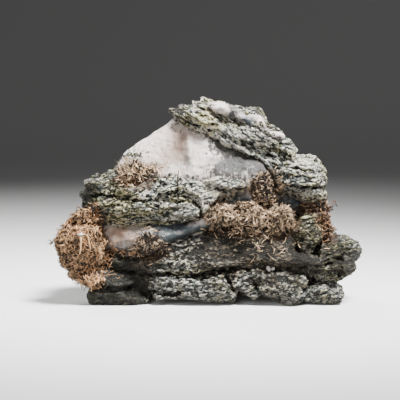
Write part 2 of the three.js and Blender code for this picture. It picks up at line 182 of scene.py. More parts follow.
def in_mm(tree, place):
    """A place in millimetres."""
    return add(tree, "ShaderNodeVectorMath", [place, 1 / MM], operation="SCALE")


def layered(tree, place, dip, bend):
    """A place in millimetres whose Z counts the rock's layers: it follows their dip, which ends where X
    passes the bend, and their waves."""
    parts = add(tree, "ShaderNodeSeparateXYZ", [place])
    run = add(tree, "ShaderNodeMath", [parts.outputs["X"], bend, 4.0], operation="SMOOTH_MIN")
    fall = add(tree, "ShaderNodeMath", [run, dip, parts.outputs["Z"]], operation="MULTIPLY_ADD")
    wave = add(tree, "ShaderNodeTexNoise", {"Vector": place, "Scale": 1 / 8.0, "Detail": 2.0})
    level = add(tree, "ShaderNodeMath", [wave, 4.0, fall], operation="MULTIPLY_ADD")
    return add(tree, "ShaderNodeCombineXYZ", [parts.outputs["X"], parts.outputs["Y"], level])


def flakes(tree, place, length, thickness, seed):
    """A random value from 0 to 1 for each flat flake of that size in millimetres."""
    scale = (1 / length, 1 / length, 1 / thickness)
    scaled = add(tree, "ShaderNodeVectorMath", [place, scale, (seed,) * 3], operation="MULTIPLY_ADD")
    cells = add(tree, "ShaderNodeTexVoronoi", {"Vector": scaled, "Scale": 1.0})
    return add(tree, "ShaderNodeSeparateXYZ", [cells.outputs["Color"]]).outputs["X"]


def streaks(tree, place, length, thickness, detail, roughness=0.5):
    """Noise from 0 to 1 that is drawn out along the layers, with its sizes in millimetres."""
    scale = (1 / length, 1 / length, 1 / thickness)
    scaled = add(tree, "ShaderNodeVectorMath", [place, scale], operation="MULTIPLY")
    inputs = {"Vector": scaled, "Scale": 1.0, "Detail": detail, "Roughness": roughness}
    return add(tree, "ShaderNodeTexNoise", inputs)


def nearest_mm(tree, objects):
    """The distance in millimetres to the nearest of several objects."""
    met = add(tree, "GeometryNodeJoinGeometry")
    for thing in objects:
        solid = add(tree, "GeometryNodeObjectInfo", {"Object": thing})
        tree.links.new(solid.outputs["Geometry"], met.inputs[0])
    near = add(tree, "GeometryNodeProximity", {"Geometry": met}, target_element="FACES")
    return add(tree, "ShaderNodeMath", [near.outputs["Distance"], 1 / MM], operation="MULTIPLY")


def fitted(tree, here, neighbours, swell, worn):
    """How far a surface moves out: a little to meet its neighbours and the floor, and back where it is open,
    which is 3.5 mm from all of them."""
    level = add(tree, "ShaderNodeSeparateXYZ", [here]).outputs["Z"]
    free = add(tree, "ShaderNodeMath", [nearest_mm(tree, neighbours), level], operation="MINIMUM")
    return add(tree, "ShaderNodeMapRange", [free, 0.5, 3.5, swell, -worn])


def relief(tree, value, height):
    """A value from 0 to 1 made a height, which is nought where the value is a half."""
    centred = add(tree, "ShaderNodeMath", [value, 0.5], operation="SUBTRACT")
    return add(tree, "ShaderNodeMath", [centred, height], operation="MULTIPLY")


def summed(tree, *values):
    """The sum of several values."""
    total = values[0]
    for value in values[1:]:
        total = add(tree, "ShaderNodeMath", [total, value], operation="ADD")
    return total


def coated(tree, body, *coats):
    """A colour with others laid over it in turn, each given as the share that it covers and the colour."""
    for share, coat in coats:
        body = add(tree, "ShaderNodeMix", {"Factor": share, "A": body, "B": coat}, data_type="RGBA")
    return body


def geometry_tree(name):
    """A new geometry tree, its first and last nodes, and the place on the piece in millimetres."""
    tree = bpy.data.node_groups.new(name, "GeometryNodeTree")
    tree.interface.new_socket("Geometry", in_out="INPUT", socket_type="NodeSocketGeometry")
    tree.interface.new_socket("Geometry", in_out="OUTPUT", socket_type="NodeSocketGeometry")
    start, end = add(tree, "NodeGroupInput"), add(tree, "NodeGroupOutput")
    return tree, start, end, in_mm(tree, add(tree, "GeometryNodeInputPosition"))


def moved_out(tree, geometry, height):
    """Moves a surface out along its normal by a height in metres, but never below the floor."""
    normal = add(tree, "GeometryNodeInputNormal")
    offset = add(tree, "ShaderNodeVectorMath", [normal, height], operation="SCALE")
    moved = add(tree, "GeometryNodeSetPosition", {"Geometry": geometry, "Offset": offset})
    parts = add(tree, "ShaderNodeSeparateXYZ", [add(tree, "GeometryNodeInputPosition")])
    level = add(tree, "ShaderNodeMath", [parts.outputs["Z"], FLOOR_LEVEL], operation="MAXIMUM")
    kept = add(tree, "ShaderNodeCombineXYZ", [parts.outputs["X"], parts.outputs["Y"], level])
    return add(tree, "GeometryNodeSetPosition", {"Geometry": moved, "Position": kept})


def new_material(name):
    """A new material, its tree, its surface and the place on the piece in millimetres."""
    material = bpy.data.materials.new(name)
    material.use_nodes = True
    tree = material.node_tree
    place = in_mm(tree, add(tree, "ShaderNodeTexCoord").outputs["Object"])
    return material, tree, tree.nodes["Principled BSDF"], place


def finish(tree, surface, body, heights, strength, depth):
    """Gives a surface its colour, and bumps of a depth in metres that follow a pattern of heights."""
    bumps = add(tree, "ShaderNodeBump", {"Strength": strength, "Distance": depth, "Height": heights})
    tree.links.new(body.outputs["Result"], surface.inputs["Base Color"])
    tree.links.new(bumps.outputs["Normal"], surface.inputs["Normal"])


# ---- Pieces ----


def only(piece):
    """Makes one piece the selected and active object, as the operators need it."""
    bpy.ops.object.select_all(action="DESELECT")
    piece.select_set(True)
    bpy.context.view_layer.objects.active = piece


def neighbours_of(node):
    """Every CAD node but one."""
    return [solid for name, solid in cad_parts.items() if name != node]


def copy_of(node, name):
    """A new object from a CAD node's mesh, with its loose triangles merged."""
    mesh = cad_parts[node].data.copy()
    mesh.materials.clear()
    piece = bpy.data.objects.new(name, mesh)
    bpy.context.collection.objects.link(piece)
    only(piece)
    bpy.ops.object.mode_set(mode="EDIT")
    bpy.ops.mesh.select_all(action="SELECT")
    bpy.ops.mesh.remove_doubles(threshold=0.005 * MM)
    bpy.ops.object.mode_set(mode="OBJECT")
    return piece


def even_faces(piece, spacing):
    """Gives a piece even faces of one size."""
    evened = piece.modifiers.new("Even faces", "REMESH")
    evened.mode = "VOXEL"
    evened.voxel_size = spacing
    evened.use_smooth_shade = True


def apply_modifiers(piece):
    """Applies every modifier of a piece."""
    only(piece)
    for name in [modifier.name for modifier in piece.modifiers]:
        bpy.ops.object.modifier_apply(modifier=name)


def places_of(piece):
    """The places of a piece's vertices, in metres."""
    places = np.empty(3 * len(piece.data.vertices), np.float32)
    piece.data.vertices.foreach_get("co", places)
    return places.reshape(-1, 3).astype(float)


def move_to(piece, places):
    """Moves a piece's vertices to new places."""
    piece.data.vertices.foreach_set("co", places.astype(np.float32).ravel())
    piece.data.update()


def paint(piece, name, values):
    """Stores a value on every vertex, for the piece's material to read."""
    layer = piece.data.attributes.get(name) or piece.data.attributes.new(name, "FLOAT", "POINT")
    layer.data.foreach_set("value", np.asarray(values, np.float32))


def mesh_piece(name, parts):
    """A new object from (vertices, faces) parts, with smooth shading."""
    vertices, faces, start = [], [], 0
    for places, rings in parts:
        vertices.append(places)
        faces += [[start + corner for corner in ring] for ring in rings]
        start += len(places)
    mesh = bpy.data.meshes.new(name)
    mesh.from_pydata(np.concatenate(vertices).tolist(), [], faces)
    piece = bpy.data.objects.new(name, mesh)
    bpy.context.collection.objects.link(piece)
    only(piece)
    bpy.ops.object.shade_smooth()
    return piece


def place(piece, slot, material, *nodes):
    """Lets a finished piece ride on the specimen, in place of its CAD nodes."""
    piece.data.materials.append(material)
    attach(piece, "root")
    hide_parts(*nodes)


def search_tree(thing):
    """A search tree for the surface of an object, which may be given by its name."""
    mesh = (bpy.data.objects[thing] if isinstance(thing, str) else thing).data
    places = [vertex.co for vertex in mesh.vertices]
    return BVHTree.FromPolygons(places, [face.vertices for face in mesh.polygons])


def nearest_in(trees, spot):
    """The distance in millimetres from a place to the nearest of several surfaces."""
    return min(tree.find_nearest(Vector(spot))[3] for tree in trees) / MM


def landed(trees, x, z):
    """Where a line from the front meets the nearest of several surfaces, and the surface's normal there."""
    start = Vector((x, FRONT_START, z))
    hits = [tree.ray_cast(start, FRONT) for tree in trees]
    hits = [hit for hit in hits if hit[0] is not None]
    if not hits:
        return None
    nearest = min(hits, key=lambda hit: hit[3])
    return nearest[0], nearest[1]


def scattered(trees, regions, spread, rng):
    """Random places on the front of several surfaces, with their normals. Each region is x, z, half width
    and half height in millimetres, and a number."""
    for x, z, half_width, half_height, count in regions:
        for across, up in rng.normal(0.0, spread, (count, 2)):
            hit = landed(trees, (x + half_width * across) * MM, (z + half_height * up) * MM)
            if hit:
                yield hit


def paint_zones(piece, names, totals, rows, reaches):
    """Adds zones to what is painted on a piece. Each row starts with the x and z of the zone's middle and,
    in millimetres, its reach, or its reaches across and up, and ends with an amount of each paint."""
    flat = places_of(piece)[:, [0, 2]] / MM
    for row in rows:
        middle, reach, amounts = row[:2], row[2 : 2 + reaches], row[2 + reaches :]
        weight = np.exp(-np.sum(((flat - middle) / reach) ** 2, axis=1))
        totals += np.outer(amounts, weight)
    for name, total in zip(names, totals):
        paint(piece, name, total)


# ---- Schist ----

# Each piece of rock: its node and slot, the size of its faces, how far its open faces have worn back, how
# steeply its layers fall to the right, where that fall ends in millimetres, and how green it is.
ROCKS = {
    "rock_base": ("schist_base", "schist", 0.43 * MM, 0.25 * MM, 0.0, 0.0, -0.03),
    "rock_middle": ("schist_middle", "schist", 0.34 * MM, 0.9 * MM, 0.02, 0.0, 0.03),
    "rock_cap": ("schist_cap", "schist", 0.34 * MM, 1.0 * MM, math.tan(math.radians(27)), 19.0, 0.0),
    "rock_fragment": ("schist_fragment", "fragment_schist", 0.3 * MM, 0.3 * MM, -0.1, 40.0, 0.2),
}

# The cracks between the blocks of the front, as lines of (x, z) in millimetres.
CRACKS = {
    "rock_base": (
        ((-28, 9.6), (-22, 9.0), (-17, 8.6), (-12, 9.0), (-8.8, 8.1), (-4.4, 8.1)),
        ((-4.4, 8.1), (-0.7, 8.7), (3.7, 9.7), (8, 10.4)),
        ((4.4, 9.0), (5.6, 6.4), (6.8, 4.8), (8.9, 3.6), (8.9, 1.6)),
        ((12.2, 7.6), (14.2, 4.2), (15.4, 1.2)),
        ((26.2, 1.8), (27.2, 4.0), (28.4, 6.0), (28.4, 8.4)),
        ((28.4, 5.6), (31.8, 6.2), (35, 5.2), (38, 4.8), (41, 6)),
        ((37.6, 12.4), (38, 10.2), (37.5, 7.6)),
        ((15.6, 9.4), (20.5, 10.8), (24.3, 11.2), (28.6, 10.9), (33.6, 11.2), (38, 12.8)),
        ((-31, 5.6), (-25.7, 4.2), (-21.3, 2.6)),
        ((-17, 3.8), (-12, 3.2), (-8, 3.4)),
    ),
    "rock_middle": (
        ((-33, 31.4), (-27.5, 31), (-23.2, 30.3), (-19.4, 29.8), (-14.4, 30.1), (-10.7, 29.8), (-4.6, 29.7)),
        ((-4.6, 29.7), (-3, 27.6), (-2, 25)),
        ((2.2, 33.3), (5.6, 32.1), (9, 32.4)),
        ((-37, 28.8), (-33, 27), (-28.6, 26)),
        ((-6.8, 33.4), (-5.2, 31.8)),
    ),
    "rock_cap": (
        ((17, 42.6), (20.5, 40.1), (25.5, 38.6), (30, 37.8), (36, 36.6)),
        ((19, 35), (25.5, 33.6), (35.5, 33)),
        ((-8, 51.5), (-2, 49.6), (4, 47.6)),
    ),
}

# Where the front of the rock turns another colour: x, z and reach in millimetres, then how green (or, below
# zero, how grey), how brown and how pale it is. A paleness below zero is painted shade, which darkens the
# rock where it lies in shadow.
ZONES = (
    (-30, 31, 8, 0.8, 0.0, -0.4),
    (-37, 31, 6, 0.5, 0.2, -1.8),
    (-20, 27, 8, 0.3, 0.0, 0.6),
    (-4, 30.5, 6, 0.0, 0.0, 1.5),
    (2, 34.4, 6, -0.5, 0.0, 1.5),
    (-14, 33, 6, -0.2, 0.0, 0.3),
    (-1, 54, 4.5, 0.5, 0.0, 1.6),
    (-9, 54, 3, 0.6, 0.3, -1.1),
    (4, 50, 6, 0.2, 0.0, 1.9),
    (14, 49, 6, -0.3, 0.0, 0.6),
    (30, 43.6, 4.5, -1.2, 0.0, 2.3),
    (27, 39.6, 4, 0.9, 0.0, 1.3),
    (31.6, 35.4, 3, 0.0, 0.0, 1.2),
    (3, 16.5, 10, 0.4, 0.65, -1.1),
    (20, 16, 10, 0.4, 0.6, -1.1),
    (-20, 13.5, 8, 0.2, 0.5, -0.7),
    (34, 14, 6, 0.9, 0.2, -0.9),
    (41, 11, 7, 0.5, 0.0, -1.8),
    (24, 36.5, 5, 0.0, 0.0, -1.0),
    (-3, 5, 6, -0.5, 0.1, 0.2),
    (20, 6, 8, -0.3, 0.15, -0.25),
    (32, 4, 6, 0.0, 0.1, -0.15),
    (-30, 4, 9, 0.0, 0.0, -4.0),
    (-19, 5, 6, 0.0, 0.0, -1.0),
    (28.5, 21, 4.5, 1.8, 0.0, -0.5),
    (27, 13, 4, -1.2, 0.2, -1.2),
)

# The broad blocks at the foot of the front, which meet in cracks: x, y and z of the middle, width, depth and
# height in millimetres, and dip to the right in degrees.
FOOT = (
    (-31.0, -15.2, 2.6, 8.6, 8.6, 4.2, 0),
    (-12.2, -15.4, 2.9, 8.0, 8.4, 2.4, 0),
    (-0.5, -16.2, 4.4, 17.0, 8.6, 6.2, 2),
    (10.8, -15.8, 5.6, 9.0, 8.2, 5.6, 25),
    (21.0, -16.4, 5.8, 14.6, 8.8, 7.6, 8),
    (32.4, -14.8, 3.0, 12.4, 8.8, 4.8, 0),
)

# The cap's outline in millimetres: the x of its notch, and the height from which its peak is flattened. Its
# front has settled by a share of its height over the vein.
NOTCH = 16.4
PEAK = 58.8
SETTLED = {"rock_cap": 0.22, "spar_cap_seam": 0.06}


def add_blocks(piece, rows):
    """Joins blocks with worn edges to a rock. Its even faces make one body of them."""
    for x, y, z, width, depth, height, dip in rows:
        middle, scale = (x * MM, y * MM, z * MM), (width, depth, height)
        turn = (0, math.radians(dip), 0)
        bpy.ops.mesh.primitive_cube_add(size=MM, location=middle, rotation=turn, scale=scale)
        block = bpy.context.object
        bpy.ops.object.transform_apply(location=True, rotation=True, scale=True)
        worn = block.modifiers.new("Worn edges", "BEVEL")
        worn.width = 1.7 * MM
        worn.segments = 3
        apply_modifiers(block)
        only(piece)
        block.select_set(True)
        bpy.ops.object.join()


def broken_tree(name, rock, worn, dip, bend, neighbours):
    """The broad relief of broken rock: lumps, and blocks and ledges that follow the layers, with crevices
    between them. The back broke more freely than the front. Open faces are worn back, but the rock still
    meets its neighbours and the floor."""
    tree, start, end, here = geometry_tree(name)
    layers = layered(tree, here, dip, bend)
    lumps = add(tree, "ShaderNodeTexNoise", {"Vector": here, "Scale": 1 / 6.0, "Detail": 3.0})
    lump = relief(tree, lumps, 4 * rock.lump)
    block = relief(tree, flakes(tree, layers, 12.0, 4.6, 5.3), 2 * rock.block)
    ledge = relief(tree, flakes(tree, layers, 7.0, 1.7, 3.1), 2 * rock.ledge)
    depth = add(tree, "ShaderNodeSeparateXYZ", [here]).outputs["Y"]
    freedom = add(tree, "ShaderNodeMapRange", [depth, -10.0, 4.0, 0.45, 1.8])
    fit = fitted(tree, here, neighbours, rock.swell, worn)
    steps = add(tree, "ShaderNodeMath", [summed(tree, block, ledge), freedom], operation="MULTIPLY")
    folds = relief(tree, streaks(tree, layers, 7.0, 1.9, 1.0), 1.0)
    ridge = add(tree, "ShaderNodeMath", [folds], operation="ABSOLUTE")
    gap = add(tree, "ShaderNodeMapRange", [ridge, 0.0, 0.03, -rock.crevice, 0.0])
    shape = moved_out(tree, start, summed(tree, lump, steps, gap, fit))
    tree.links.new(shape.outputs[0], end.inputs[0])
    return tree


def carve(piece, lines, width, depth):
    """Cuts cracks into the front of a rock along lines of (x, z), from which they wander a little."""
    places = places_of(piece)
    flat = places[:, [0, 2]] / MM
    wander = np.sin(1.9 * flat[:, ::-1] + 0.8 * flat) + 0.6 * np.sin(4.3 * flat[:, ::-1] + 1.0)
    flat = flat + 0.22 * wander
    cut = np.zeros(len(places))
    for line in lines:
        for start, end in zip(np.array(line)[:-1], np.array(line)[1:]):
            run = end - start
            share = np.clip((flat - start) @ run / (run @ run), 0, 1)
            away = np.linalg.norm(flat - start - share[:, None] * run, axis=1) * MM
            cut = np.maximum(cut, np.clip(1 - (away / width) ** 2, 0, 1))
    in_front = np.clip(-places[:, 1] / (4 * MM) - 1, 0, 1)
    places[:, 1] += depth * cut * in_front
    move_to(piece, places)


def settled(piece, share):
    """Lowers the front of the cap by a share of its height over the vein, so that the rock behind its seam
    stands over it. Lifts its edge off the top of the vein, steps its outline down at a notch, and flattens
    its peak."""
    places = places_of(piece)
    x, y, z = (places / MM).T
    edge = np.maximum(46, 48.5 - 0.55 * x)  # the height of the vein's top, under the cap
    above = np.clip(z - edge, 0, None)
    front = np.clip((1.0 - y) / 3, 0, 1)
    brow = np.clip((-y - 1) / 4, 0, 1)
    lift = 1.3 * np.exp(-(((x + 1) / 7) ** 2) - ((z - edge) / 2.6) ** 2) * brow
    from_notch = x - NOTCH
    step = np.clip(-from_notch / 0.8, -1, 1) * np.exp(-((from_notch / 5) ** 2))
    notch = 1.8 * step * np.clip((z - edge - 3) / 3, 0, 1)
    places[:, 2] += (lift + notch - above * (0.07 + share * front)) * MM
    places[:, 2] -= 0.75 * np.clip(places[:, 2] - PEAK * MM, 0, None)
    move_to(piece, places)


def wedged(piece):
    """Narrows the foot of the fragment to a point."""
    places = places_of(piece)
    middle, foot, height = 27.2 * MM, 11.4 * MM, 8 * MM
    above = np.clip((places[:, 2] - foot) / height, 0, 1)
    places[:, 0] = middle + (places[:, 0] - middle) * (0.25 + 0.75 * above)
    move_to(piece, places)


def flaked_tree(name, rock, dip, bend, minerals):
    """The fine relief: single flakes and grit. It stores how far each point stands over its surroundings,
    how much it faces up, and its distance from each of the other minerals. The first two give the material
    its painted light and shade."""
    tree, start, end, here = geometry_tree(name)
    layers = layered(tree, here, dip, bend)
    coarse = relief(tree, flakes(tree, layers, 3.4, 1.0, 7.7), 1.3 * rock.flake)
    fine = relief(tree, flakes(tree, layers, 1.2, 0.6, 1.3), 1.7 * rock.flake)
    grit = relief(tree, streaks(tree, layers, 1.1, 0.6, 2.0), 2.2 * rock.flake)
    shape = moved_out(tree, start, summed(tree, coarse, fine, grit))

    point = add(tree, "GeometryNodeInputPosition")
    normal = add(tree, "GeometryNodeInputNormal")
    around, facing = [
        add(tree, "GeometryNodeBlurAttribute", {"Value": value, "Iterations": 14}, data_type="FLOAT_VECTOR")
        for value in (point, normal)
    ]
    above = in_mm(tree, add(tree, "ShaderNodeVectorMath", [point, around], operation="SUBTRACT"))
    standing = add(tree, "ShaderNodeVectorMath", [above, normal], operation="DOT_PRODUCT").outputs["Value"]
    upward = add(tree, "ShaderNodeSeparateXYZ", [facing]).outputs["Z"]
    stored = {"standing": standing, "upward": upward}
    for mineral, solids in minerals.items():
        stored[mineral] = nearest_mm(tree, solids)
    for layer, value in stored.items():
        inputs = {"Geometry": shape, "Name": layer, "Value": value}
        shape = add(tree, "GeometryNodeStoreNamedAttribute", inputs)
    tree.links.new(shape.outputs[0], end.inputs[0])
    return tree


def tint(piece):
    """Paints how green, brown and pale a rock is, and its painted shade, which is a paleness below zero."""
    totals = np.zeros((3, len(piece.data.vertices)))
    paint_zones(piece, ("green", "brown", "pale"), totals, ZONES, 1)


def schist_material(name, rock, dip, bend, greenness):
    """Chlorite mica schist, broken along its layers: grey-green rock streaked light and dark, with flat pale
    flecks of mica that catch the light, near-black pits of painted shade and dirt, and a white crust
    where calcite was torn off. Painted light and shade also follow the relief, darken faces that turn up,
    and darken the zones that lie in shadow."""
    material, tree, surface, here = new_material(name)
    layers = layered(tree, here, dip, bend)
    painted = {
        layer: add(tree, "ShaderNodeAttribute", attribute_name=layer).outputs["Fac"]
        for layer in ("green", "brown", "pale", "standing", "upward", "from_calcite", "from_silver")
    }

    # The ground of the rock, which is green or brown in patches, and the fresh pale rock in it.
    patches = streaks(tree, layers, 7.0, 3.0, 3.0)
    hues = relief(tree, flakes(tree, layers, 0.9, 0.5, 4.0), 0.3)
    zoned = add(tree, "ShaderNodeMath", [painted["green"], 0.2], operation="MULTIPLY")
    greener = summed(tree, patches, hues, zoned)
    green = add(tree, "ShaderNodeMapRange", [greener, 0.54 - greenness, 0.68 - greenness, 0.0, 1.0])
    spots = streaks(tree, layers, 4.0, 2.0, 3.0)
    browner = summed(tree, painted["brown"], spots)
    brown = add(tree, "ShaderNodeMapRange", [browner, 0.6, 1.1, 0.0, 1.0])
    ground = coated(tree, rock.grey, (green, rock.green), (brown, rock.brown))
    fresh = coated(tree, rock.pale, (green, rock.straw), (brown, rock.tan))

    # Grains and streaks, dark and pale, with flecks of mica.
    grains = flakes(tree, layers, 0.7, 0.4, 9.0)
    paler = add(tree, "ShaderNodeMath", [painted["pale"], 0.0], operation="MAXIMUM")
    # Painted light and shade: the tone rises where a point stands out and falls in hollows, and faces that
    # turn up are darkened.
    causes = (brown, -0.03), (paler, 0.1), (painted["standing"], 0.3), (painted["upward"], -0.1)
    shifts = [add(tree, "ShaderNodeMath", cause, operation="MULTIPLY") for cause in causes]
    tone = summed(tree, streaks(tree, layers, 1.5, 0.6, 5.0, 0.7), relief(tree, grains, 0.5), *shifts)
    dark = add(tree, "ShaderNodeMapRange", [tone, 0.41, 0.48, 0.0, 1.0])
    pale = add(tree, "ShaderNodeMapRange", [tone, 0.58, 0.68, 0.0, 1.0])
    fleck = add(tree, "ShaderNodeMapRange", [grains, 0.94, 0.96, 0.0, 0.6])
    dim = add(tree, "ShaderNodeMapRange", [brown, 0.0, 1.0, 1.0, 0.3])
    seen = add(tree, "ShaderNodeMath", [fleck, dark], operation="MULTIPLY")
    lit = add(tree, "ShaderNodeMath", [seen, dim], operation="MULTIPLY")
    body = coated(tree, rock.dark, (dark, ground), (pale, fresh), (lit, rock.mica))

    # Painted shade in the zones that lie in shadow, rust beside the silver, a crust beside the calcite, and
    # painted shade with dirt in the pits.
    shade = add(tree, "ShaderNodeMapRange", [painted["pale"], -2.0, 0.0, 0.08, 1.0])
    stain = add(tree, "ShaderNodeMapRange", [painted["from_silver"], 0.2, 2.4, 0.8, 0.0])
    torn = streaks(tree, here, 1.6, 1.6, 2.0)
    edge = add(tree, "ShaderNodeMath", [torn, -4.0, painted["from_calcite"]], operation="MULTIPLY_ADD")
    crust = add(tree, "ShaderNodeMapRange", [edge, -2.0, -1.5, 0.7, 0.0])
    pit_dirt_and_shade = add(tree, "ShaderNodeMapRange", [painted["standing"], -0.42, -0.08, 0.9, 0.0])
    soiled = (stain, rock.rust), (crust, rock.crust), (pit_dirt_and_shade, rock.dark)
    body = coated(tree, rock.dark, (shade, body), *soiled)
    surface.inputs["Specular IOR Level"].default_value = 0.25
    rough = add(tree, "ShaderNodeMapRange", [lit, 0.0, 0.8, 0.62, 0.34])
    tree.links.new(rough.outputs["Result"], surface.inputs["Roughness"])
    sand = streaks(tree, layers, 0.55, 0.4, 2.0, 0.6)
    bumps = add(tree, "ShaderNodeMath", [grains, 0.8, sand], operation="MULTIPLY_ADD")
    finish(tree, surface, body, bumps, 1.0, 0.7 * MM)
    return material


class SPECIMEN_OT_schist(bpy.types.Operator):
    """Break the schist into blocks, layers and flakes"""

    bl_idname = "specimen.schist"
    bl_label = "Schist"
    bl_options = {"REGISTER", "UNDO"}

    def execute(self, context):
        rock = context.scene.schist
        minerals = {
            "from_" + mineral: [node for name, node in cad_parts.items() if name.startswith(mineral)]
            for mineral in ("calcite", "silver")
        }
        for name, (node, slot, face, worn, dip, bend, greenness) in ROCKS.items():
            broken = broken_tree(f"Broken {name}", rock, worn, dip, bend, neighbours_of(node))
            piece = copy_of(node, name)
            if name == "rock_base":
                add_blocks(piece, FOOT)
            even_faces(piece, face)
            piece.modifiers.new("Broken", "NODES").node_group = broken
            apply_modifiers(piece)
            carve(piece, CRACKS.get(name, ()), rock.crack_width, rock.crack_depth)
            if name in SETTLED:
                settled(piece, SETTLED[name])
            if name == "rock_fragment":
                wedged(piece)
            even_faces(piece, face)
            flaked = flaked_tree(f"Flaked {name}", rock, dip, bend, minerals)
            piece.modifiers.new("Flaked", "NODES").node_group = flaked
            apply_modifiers(piece)
            bpy.ops.object.shade_smooth_by_angle(angle=math.radians(40))
            tint(piece)
            place(piece, slot, schist_material(f"Mica schist, {name}", rock, dip, bend, greenness), node)
        return {"FINISHED"}


# ---- Calcite ----

# Each piece of calcite: its node, the heights of the waves and the chips of its surface, and how far its open
# faces have worn back.
SPARS = {
    "spar_vein": ("calcite_vein", 0.3 * MM, 0.2 * MM, 0.7 * MM),
    "spar_cap_seam": ("calcite_cap_seam", 0.8 * MM, 0.6 * MM, -0.7 * MM),
}


def cleft_tree(name, spar, wave, chip, worn, neighbours):
    """The gently waving surface of massive calcite, with faint steps and chips where it cleaved."""
    tree, start, end, here = geometry_tree(name)
    waves = add(tree, "ShaderNodeTexNoise", {"Vector": here, "Scale": 1 / 6.0, "Detail": 4.0})
    waved = relief(tree, waves, 4 * wave)
    step = relief(tree, flakes(tree, here, 3.0, 5.0, 2.0), 0.2 * MM)
    chips = relief(tree, streaks(tree, here, 1.6, 1.6, 3.0), 4 * chip)
    fit = fitted(tree, here, neighbours, spar.swell, worn)
    shape = moved_out(tree, start, summed(tree, waved, step, chips, fit))
    tree.links.new(shape.outputs[0], end.inputs[0])
    return tree


def ridged(piece):
    """Presses a hollow into the front of the calcite and raises the ridge beside it, which runs down from
    the peak."""
    places = places_of(piece)
    x, y, z = (places / MM).T
    right = x - (-5.6 - 0.1 * (z - 42))  # how far right of the ridge a place lies
    high = np.clip((z - 36) / 7, 0, 1) * np.clip((-y - 1) / 3, 0, 1)
    hollow = 1.6 * np.exp(-(((right + 3.8) / 3.0) ** 2))
    crest = -1.1 * np.exp(-((right / 1.2) ** 2))
    flank = 0.08 * np.clip(right, 0, 12)
    places[:, 1] += (hollow + crest + flank) * high * MM
    move_to(piece, places)


# Where the calcite is painted: x and z of the middle and reach across and up, in millimetres, then how clear,
# how beige and how dirty it is there. The beige in the hollow beside the ridge, and the beige and dirt in the
# recess on the right, are partly painted shade.
SPAR_ZONES = (
    (-25.5, 20, 7.0, 4.2, -1.3, 0.8, -1.0),
    (-2.6, 24.4, 2.6, 1.6, -1.2, 0.0, 0.0),
    # Partly painted shade in the recess on the right.
    (22, 31, 4, 3, -0.2, 0.5, 0.9),
    # Partly painted shade in the hollow beside the ridge.
    (-9.6, 46, 4.4, 5, 0.0, 0.8, 0.0),
    (-14, 41, 5, 3, 0.0, 0.5, 0.1),
    (-27, 39, 2, 4, 0.7, 0.0, 0.2),
    (-21.6, 42.6, 3.4, 1.8, 0.0, 0.0, 1.1),
    (-21, 37, 5, 2.6, 0.1, 0.3, 0.7),
    (3.6, 44.8, 4, 2.6, 0.5, 0.0, 1.7),
    (8.6, 41, 5, 3.6, 0.8, 0.0, 1.6),
    (4.6, 39, 5, 2.2, 0.5, 0.0, 1.2),
    (14.5, 38, 4, 3, 0.6, 0.0, 1.2),
    (7.0, 55, 1.6, 4, 0.8, 0.0, 1.6),
    (20.5, 45, 3, 3, 0.0, 0.0, 1.2),
    (10.6, 52.5, 2.4, 2.4, 1.2, 0.0, 0.0),
)


def calcite_material(name, spar):
    """Massive calcite, cloudy white and glowing a little below its surface, with blushes of pink and beige,
    fibres that run down from the peak, clearer spar where the dark rock shows through it, and dirt along
    its edges. In the hollow beside the ridge and in the recess on the right, its beige and dirt are partly
    painted shade."""
    material, tree, surface, here = new_material(name)
    painted = {
        layer: add(tree, "ShaderNodeAttribute", attribute_name=layer).outputs["Fac"]
        for layer in ("clear", "beige", "dirty")
    }
    clouds = streaks(tree, here, 5.0, 5.0, 5.0, 0.6)
    fibres = streaks(tree, here, 0.8, 3.4, 4.0, 0.6)
    blush = add(tree, "ShaderNodeMapRange", [summed(tree, clouds, painted["beige"]), 0.42, 1.3, 0.0, 1.0])
    wisps = streaks(tree, here, 2.6, 2.6, 4.0, 0.6)
    cleared = add(tree, "ShaderNodeMath", [wisps, -2.0, painted["clear"]], operation="MULTIPLY_ADD")
    glass = add(tree, "ShaderNodeMapRange", [cleared, -1.0, 0.1, 0.0, 1.0])
    specks = streaks(tree, here, 1.3, 1.0, 5.0, 0.7)
    grime = summed(tree, fibres, specks)
    dusty = add(tree, "ShaderNodeMath", [grime, 4.0, painted["dirty"]], operation="MULTIPLY_ADD")
    dust = add(tree, "ShaderNodeMapRange", [dusty, 4.7, 5.3, 0.0, 0.92])
    body = coated(tree, spar.white, (blush, spar.blush), (glass, spar.clear), (dust, spar.dirt))
    surface.inputs["Roughness"].default_value = 0.55
    surface.inputs["Subsurface Weight"].default_value = 0.2
    surface.inputs["Subsurface Radius"].default_value = (1.0, 0.85, 0.8)
    surface.inputs["Subsurface Scale"].default_value = 0.4 * MM
    finish(tree, surface, body, fibres, 0.7, 0.5 * MM)
    return material


def tint_spar(piece, rocks):
    """Paints how clear, beige and dirty the calcite is. Its low part is the clearer one, and beside the
    schist it is dirty."""
    places = places_of(piece)
    below = np.clip((33 - places[:, 2] / MM) / 4, 0, 1)
    near = np.array([nearest_in(rocks, spot) for spot in places])
    totals = np.stack([1.12 * below, np.zeros(len(places)), np.clip(1.1 - near / 2.2, 0, 1)])
    paint_zones(piece, ("clear", "beige", "dirty"), totals, SPAR_ZONES, 2)


